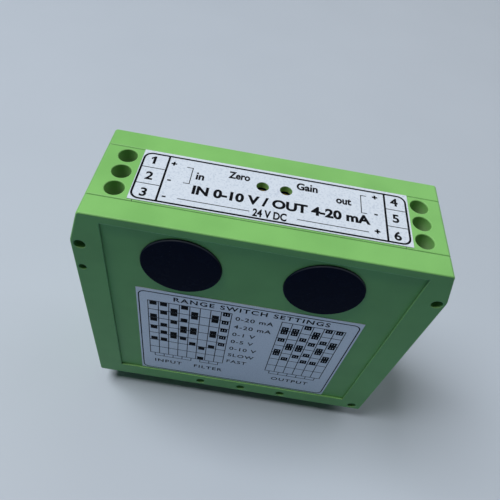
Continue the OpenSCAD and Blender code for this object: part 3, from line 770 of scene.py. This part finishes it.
def ink(name, colour, worn):
    """Printing ink with a slightly uneven film."""
    material, shader, place = new_finish(name)
    film = noise(place, film_per_mm, film_detail)
    feed(shader, {
        "Base Color": tint(ramp(film, *film_span) * worn_share, colour, worn),
        "Roughness": ink_rough + film * film_rough,
        "Specular IOR Level": ink_gloss,
    })
    return material


switch_case = small_moulding("switch_case", switch_red, switch_shade, switch_rough)
slider_plastic = small_moulding("slider_plastic", slider_white, slider_shade, slider_rough)
switch_ink = ink("switch_ink", white_ink, slider_shade)
dress(["input_switch", "output_switch"], switch_case)
dress([name for name in solids if "_slider_" in name], slider_plastic)

for end in ("input", "output"):
    sheet = bmesh.new()
    sliders = sorted(name for name in solids if name.startswith(end + "_slider_"))
    switch_low, switch_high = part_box(end + "_switch")
    switch_z = (switch_low.z + switch_high.z) / 2 / MM
    for name in sliders:
        low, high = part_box(name)
        way_x = (low.x + high.x) / 2 / MM
        lay_number(sheet, name.split("_")[-1], way_x, switch_z - digit_drop, digit_h)
    lay_words(sheet, "ON", switch_low.x / MM + on_inset, switch_z + on_rise, digit_h)
    print_piece(end + "_switch_print", sheet, front_spot(switch_low.y), switch_ink)


# Wire clamps
# Six rising-cage clamps: a slotted screw draws a steel cage up against a brass contact bar, which
# leads back to the board. Screw and cage are zinc plated.
clamp_parts = ("clamp_screw_", "clamp_cage_")
dress([name for name in solids if name.startswith(clamp_parts)], plated_steel)
dress(["terminal_contacts"], brass)


# Terminal blocks, top strip and covers
# Green mouldings that close the housing: a block with three screw wells and wire entries at each
# end, the strip between them, and two covers that clip over the pegs from the front and the rear.
dress(["input_terminal_block", "output_terminal_block", "top_strip"], green_plastic)
dress(["front_cover", "rear_cover"], green_plastic)


# Switch caps
# Two flat black caps with a round edge, pushed into the openings of the front cover over the range
# switches. They are moulded in smooth plastic that takes faint scuffs and a little dust.
cap_black = srgb(3, 15, 36)
cap_scuff = srgb(7, 20, 42)
cap_dust = srgb(90, 98, 110)
smears_per_mm = 0.35
smears_detail = 4.0
smears_span = (0.4, 0.75)
smears_rough = 0.12
scuffs_span = (0.45, 0.8)
scuffs_share = 0.5
specks_per_mm = 0.8
speck_reach = 0.09
speck_fade = 0.04
speck_share = 0.25
cap_grain_per_mm = 6.0
cap_grain_depth = 0.001
cap_grain_rough = 0.05
upward_span = (0.2, 0.7)
cap_rough = 0.2
cap_gloss = 0.02
cap_edge_rough = 0.3

cap_finish, shader, place = new_finish("cap_plastic")
smear = noise(place, smears_per_mm, smears_detail)
smeared = ramp(smear, *smears_span)
fine = noise(place, cap_grain_per_mm)
specks = place.node("TexVoronoi", {"feature": "F1"}, {"Vector": place, "Scale": specks_per_mm}, "Distance")
dust = ramp(speck_reach - specks, 0.0, speck_fade)
upper_edge = ramp(axis(place.node("NewGeometry", {}, {}, "Normal"), "Z"), *upward_span)
scuffed = tint(ramp(smear, *scuffs_span) * scuffs_share, cap_black, cap_scuff)
feed(shader, {
    "Base Color": tint(dust * speck_share, scuffed, cap_dust),
    "Roughness": cap_rough + smeared * smears_rough + fine * cap_grain_rough,
    "Normal": relief(fine, cap_grain_depth),
    "Specular IOR Level": cap_gloss,
    "Coat Weight": upper_edge,
    "Coat Roughness": cap_edge_rough,
})
dress(["input_plug", "output_plug"], cap_finish)


# Top label
# A white printed film glued over the top strip and the inner ends of the terminal blocks. It
# numbers the terminals, marks their polarity and names the two trimmers under its holes.
film_white = srgb(206, 216, 228)
film_speck = srgb(176, 189, 206)
white_rough = 0.4
speckle_per_mm = 2.6
speckle_detail = 4.0
speckle_span = (0.46, 0.72)
speckle_depth = 0.006
speckle_share = 0.75
speckle_rough = 0.12
shades_per_mm = 0.08
shades_share = 0.1
label_ink = srgb(8, 10, 15)
label_ink_worn = srgb(24, 27, 34)
frame_left, frame_right = -28.35, 28.65
frame_front, frame_rear = -7.05, 7.1
frame_r = 1.9
frame_line = 0.44
hair_line = 0.19
dividers = (-22.95, 23.8)
cell_spans = ((-27.95, -23.33), (23.8, 28.45))
cell_y = (2.45, -2.5)
number_left, number_right = -25.85, 25.9
number_y = (4.85, -0.05, -4.95)
number_h = 2.2
number_bold = 0.1
left_signs = (("+", 4.8), ("-", -0.4), ("-", -5.25))
right_signs = (("+", 5.3), ("-", 0.1), ("+", -4.65))
sign_x = 21.7
sign_line = 0.4
plus_half = 0.6
minus_half = 0.38
left_bracket = [(-18.8, 4.4), (-17.55, 4.4), (-17.55, -0.45), (-18.7, -0.45)]
right_bracket = [(19.7, 5.2), (18.6, 5.2), (18.6, -0.05), (19.65, -0.05)]
word_h = 1.95
word_bold = 0.11
in_spot, in_w = (-15.7, 1.3), 1.75
out_spot, out_w = (14.85, 1.6), 3.3
zero_spot, zero_w = (-7.65, 3.5), 4.6
gain_spot, gain_w = (6.95, 3.6), 4.6
supply_spot, supply_w = (-0.4, -6.25), 6.9
supply_spans = ((-18.9, -4.6), (5.3, 19.8))
supply_y = -5.2
signal_spot, signal_w = (1.9, -3.05), 37.0
signal_h = 2.25
signal_bold = 0.15


def rounded_loop(left, bottom, right, top, radius, steps=8):
    """Anticlockwise points of a rectangle with round corners."""
    centres = (
        (right - radius, bottom + radius, -90),
        (right - radius, top - radius, 0),
        (left + radius, top - radius, 90),
        (left + radius, bottom + radius, 180),
    )
    loop = []
    for u, v, start in centres:
        for step in range(steps + 1):
            turn = math.radians(start + 90 * step / steps)
            loop.append((u + radius * math.cos(turn), v + radius * math.sin(turn)))
    return loop


def lay_frame(sheet, left, bottom, right, top, radius, line):
    """Closed frame of ink with round corners."""
    outer = rounded_loop(left, bottom, right, top, radius)
    inner = rounded_loop(left + line, bottom + line, right - line, top - line, radius - line)
    sides = ((outer, -ink_sink), (outer, ink_rise), (inner, ink_rise), (inner, -ink_sink))
    rings = [[sheet.verts.new((u * MM, v * MM, w * MM)) for u, v in loop] for loop, w in sides]
    for first, second in zip(rings, rings[1:] + rings[:1]):
        for i in range(len(outer)):
            j = (i + 1) % len(outer)
            sheet.faces.new((first[i], first[j], second[j], second[i]))


def lay_path(sheet, points, line):
    """Line of ink along level and upright stretches."""
    half = line / 2
    for (u0, v0), (u1, v1) in zip(points, points[1:]):
        lay_bar(sheet, min(u0, u1) - half, min(v0, v1) - half, max(u0, u1) + half, max(v0, v1) + half)


def lay_sign(sheet, sign, u, v):
    """Plus or minus sign."""
    half = plus_half if sign == "+" else minus_half
    lay_bar(sheet, u - half, v - sign_line / 2, u + half, v + sign_line / 2)
    if sign == "+":
        lay_bar(sheet, u - sign_line / 2, v - half, u + sign_line / 2, v + half)


def label_film(name, light, speck, roughness, silver):
    """Printed film with a fine speckle and a share of silver in it."""
    material, shader, place = new_finish(name)
    speckle = noise(place, speckle_per_mm, speckle_detail)
    shades = noise(place, shades_per_mm)
    film_tone = ramp(speckle, *speckle_span) * speckle_share + shades * shades_share
    feed(shader, {
        "Base Color": tint(film_tone, light, speck),
        "Metallic": silver,
        "Roughness": roughness + speckle * speckle_rough,
        "Normal": relief(speckle, speckle_depth),
    })
    return material


dress(["top_label"], label_film("white_film", film_white, film_speck, white_rough, 0.0))
black_ink = ink("black_ink", label_ink, label_ink_worn)
sheet = bmesh.new()
lay_frame(sheet, frame_left, frame_front, frame_right, frame_rear, frame_r, frame_line)
for u in dividers:
    lay_bar(sheet, u - frame_line / 2, frame_front, u + frame_line / 2, frame_rear)
for v in cell_y:
    for start, stop in cell_spans:
        lay_path(sheet, [(start, v), (stop, v)], hair_line)
for row, v in enumerate(number_y):
    lay_number(sheet, str(row + 1), number_left, v - number_h / 2, number_h, number_bold)
    lay_number(sheet, str(row + 4), number_right, v - number_h / 2, number_h, number_bold)
for sign, v in left_signs:
    lay_sign(sheet, sign, -sign_x, v)
for sign, v in right_signs:
    lay_sign(sheet, sign, sign_x, v)
for bracket in (left_bracket, right_bracket):
    lay_path(sheet, bracket, hair_line)
lay_words(sheet, "in", *in_spot, word_h, in_w, word_bold)
lay_words(sheet, "out", *out_spot, word_h, out_w, word_bold)
lay_words(sheet, "Zero", *zero_spot, word_h, zero_w, word_bold)
lay_words(sheet, "Gain", *gain_spot, word_h, gain_w, word_bold)
lay_words(sheet, "IN 0-10 V / OUT 4-20 mA", *signal_spot, signal_h, signal_w, signal_bold)
lay_words(sheet, "24 V DC", *supply_spot, word_h, supply_w, word_bold)
for start, stop in supply_spans:
    lay_path(sheet, [(start, supply_y), (stop, supply_y)], hair_line)
label_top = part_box("top_label")[1].z
print_piece("top_label_print", sheet, Matrix.Translation((0, 0, label_top)), black_ink)


# Front label
# A silver-white printed film in the recess of the front cover. It shows which switches are set for
# each range: a grid for the input and filter, the ranges, and a grid for the output.
silver_film = srgb(206, 213, 222)
silver_speck = srgb(186, 194, 204)
silver_rough = 0.36
silver_share = 0.4
map_left, map_right = -26.1, 25.65
map_bottom, map_top = 11.75, 50.55
map_r = 1.7
map_line = 0.28
title_spot, title_w = (0.4, 48.0), 36.6
title_h = 1.6
title_bold = 0.05
capital_spread = 1.2
grid_line = 0.2
grid_top, grid_bottom = 46.9, 21.1
grid_rows = 7
row_h = (grid_top - grid_bottom) / grid_rows
input_columns, input_left, input_right = 8, -23.9, -4.1
output_columns, output_left, output_right = 6, 7.75, 22.95
mark_share = 0.68
mark_h = 1.5
mark_gap = 0.2
hatch_line = 0.45
input_codes = (0b01011, 0b10110, 0b00101, 0b11001, 0b01100)
output_codes = (0b110100, 0b001011, 0b101001, 0b010110, 0b100101)
code_columns = 5
filter_column, span_column, link_column = 5, 6, 7
filter_marks = ((5, True), (6, False))
range_words = ("0-20 mA", "4-20 mA", "0-1 V", "0-5 V", "0-10 V", "SLOW", "FAST")
range_left = -3.1
range_h = 1.55
range_spread = 1.15
tick_h = 1.5
input_foot, filter_foot, output_foot = -19.0, -7.8, 15.4
foot_base = 16.0
foot_h = 1.6
small_bold = 0.04


def lay_grid(sheet, columns, left, right):
    """Ruled grid of the switch map; returns the middle of each column."""
    wide = (right - left) / columns
    for i in range(columns + 1):
        lay_path(sheet, [(left + i * wide, grid_bottom), (left + i * wide, grid_top)], grid_line)
    for i in range(grid_rows + 1):
        lay_path(sheet, [(left, grid_bottom + i * row_h), (right, grid_bottom + i * row_h)], grid_line)
    return [left + (i + 0.5) * wide for i in range(columns)]


def lay_mark(sheet, u, row, up, wide, hatched):
    """Mark in the upper or lower half of a cell, full or hatched."""
    middle = grid_top - (row + 0.5) * row_h
    bottom = middle + (mark_gap if up else -mark_gap - mark_h)
    left, right, top = u - wide / 2, u + wide / 2, bottom + mark_h
    if not hatched:
        lay_bar(sheet, left, bottom, right, top)
        return
    for start in (left, u - hatch_line / 2, right - hatch_line):
        lay_bar(sheet, start, bottom, start + hatch_line, top)
    for start in (bottom, top - hatch_line):
        lay_bar(sheet, left, start, right, start + hatch_line)


def lay_comb(sheet, columns):
    """Bracket under some columns of a grid."""
    foot = grid_bottom - tick_h
    lay_path(sheet, [(columns[0], foot), (columns[-1], foot)], grid_line)
    for u in columns:
        lay_path(sheet, [(u, grid_bottom), (u, foot)], grid_line)


dress(["side_label"], label_film("silver_film", silver_film, silver_speck, silver_rough, silver_share))
sheet = bmesh.new()
lay_frame(sheet, map_left, map_bottom, map_right, map_top, map_r, map_line)
lay_words(sheet, "RANGE SWITCH SETTINGS", *title_spot, title_h, title_w, title_bold, capital_spread)
input_x = lay_grid(sheet, input_columns, input_left, input_right)
output_x = lay_grid(sheet, output_columns, output_left, output_right)
mark_w = mark_share * (input_x[1] - input_x[0])
for row, code in enumerate(input_codes):
    for column, u in enumerate(input_x[:code_columns]):
        lay_mark(sheet, u, row, code >> column & 1, mark_w, False)
    lay_mark(sheet, input_x[span_column], row, row % 2, mark_w, False)
    lay_mark(sheet, input_x[link_column], row, True, mark_w, True)
for row, code in enumerate(output_codes):
    for column, u in enumerate(output_x):
        lay_mark(sheet, u, row, code >> column & 1, mark_w, True)
for row, up in filter_marks:
    lay_mark(sheet, input_x[filter_column], row, up, mark_w, False)
for row, words in enumerate(range_words):
    base = grid_top - (row + 0.5) * row_h - range_h / 2
    lay_words(sheet, words, range_left, base, range_h, None, small_bold, range_spread, share=0.0)
feet = (
    (input_x[:code_columns], "INPUT", input_foot),
    (input_x[code_columns:], "FILTER", filter_foot),
    (output_x, "OUTPUT", output_foot),
)
for columns, words, u in feet:
    lay_comb(sheet, columns)
    lay_words(sheet, words, u, foot_base, foot_h, None, small_bold, capital_spread)
label_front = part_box("side_label")[0].y
print_piece("side_label_print", sheet, front_spot(label_front), black_ink)


# Floor and studio light
# A plain pale table that throws back a cool light, a large soft lamp above the left end, weak ones
# behind and beside the module and a faint even sky: the front stands in soft shade.
floor_pale = srgb(182, 192, 204)
floor_mottle = srgb(177, 187, 199)
floor_glow = srgb(98, 140, 185)
floor_mottle_per_mm = 0.02
floor_rough = 0.6
floor_half = 1.5
key_place = Vector((-0.38, 0.03, 0.95))
key_size = 0.45
key_power = 9.3
rear_place = Vector((0.5, 1.2, 0.6))
rear_size = 1.0
rear_power = 2.0
end_place = Vector((0.75, 0.35, 0.95))
end_size = 0.8
end_power = 2.5
sky_colour = (0.86, 0.93, 1.0, 1.0)
sky_strength = 0.03
backdrop_strength = 0.5


def shown_share(socket):
    """1 for what the camera, a mirror or glass shows, and 0 for light between surfaces."""
    seen = socket.node("LightPath", {}, {}, "Is Camera Ray")
    mirrored = socket.node("LightPath", {}, {}, "Is Glossy Ray")
    through = socket.node("LightPath", {}, {}, "Is Transmission Ray")
    return seen.math("MAXIMUM", seen, mirrored + through)


floor_finish, shader, place = new_finish("floor_paint")
floor_tone = tint(noise(place, floor_mottle_per_mm), floor_pale, floor_mottle)
feed(shader, {
    "Base Color": tint(shown_share(place), floor_glow, floor_tone),
    "Roughness": floor_rough,
})
floor_mesh = bpy.data.meshes.new("floor")
corner_signs = ((-1, -1), (1, -1), (1, 1), (-1, 1))
floor_corners = [(u * floor_half, v * floor_half, 0) for u, v in corner_signs]
floor_mesh.from_pydata(floor_corners, [], [(0, 1, 2, 3)])
floor_mesh.materials.append(floor_finish)
floor = bpy.data.objects.new("floor", floor_mesh)
bpy.context.scene.collection.objects.link(floor)

middle = (cad_box[0] + cad_box[1]) / 2


def add_lamp(name, spot, size, power):
    """Soft square lamp that faces the module."""
    lamp = bpy.data.lights.new(name, "AREA")
    lamp.size = size
    lamp.energy = power
    holder = bpy.data.objects.new(name, lamp)
    holder.location = spot
    holder.rotation_euler = (middle - spot).to_track_quat("-Z", "Y").to_euler()
    bpy.context.scene.collection.objects.link(holder)


add_lamp("key_lamp", key_place, key_size, key_power)
add_lamp("rear_lamp", rear_place, rear_size, rear_power)
add_lamp("end_lamp", end_place, end_size, end_power)
sky = bpy.data.worlds.new("sky")
sky.use_nodes = True
shown = shown_share(Socket(sky.node_tree))
feed(sky.node_tree.nodes["Background"], {
    "Color": sky_colour,
    "Strength": shown * (backdrop_strength - sky_strength) + sky_strength,
})
bpy.context.scene.world = sky
bpy.context.scene.view_settings.view_transform = "Standard"


# Camera
# The photograph's own view: close above the front, looking down on the top and the front cover,
# with the module tilted in the frame.
camera_place = Vector((-6.283, -71.178, 140.62)) * MM
camera_aim = Vector((-3.172, -13.1, 71.212)) * MM
camera_roll = math.radians(12.08)
camera_lens = 33.9
camera_sensor = 36.0
near_clip = 0.005

lens = bpy.data.cameras.new("camera")
lens.lens = camera_lens
lens.sensor_width = camera_sensor
lens.clip_start = near_clip
camera = bpy.data.objects.new("camera", lens)
bpy.context.scene.collection.objects.link(camera)
look = (camera_aim - camera_place).to_track_quat("-Z", "Y").to_matrix().to_4x4()
camera.matrix_world = Matrix.Translation(camera_place) @ look @ Matrix.Rotation(camera_roll, 4, "Z")
bpy.context.scene.camera = camera
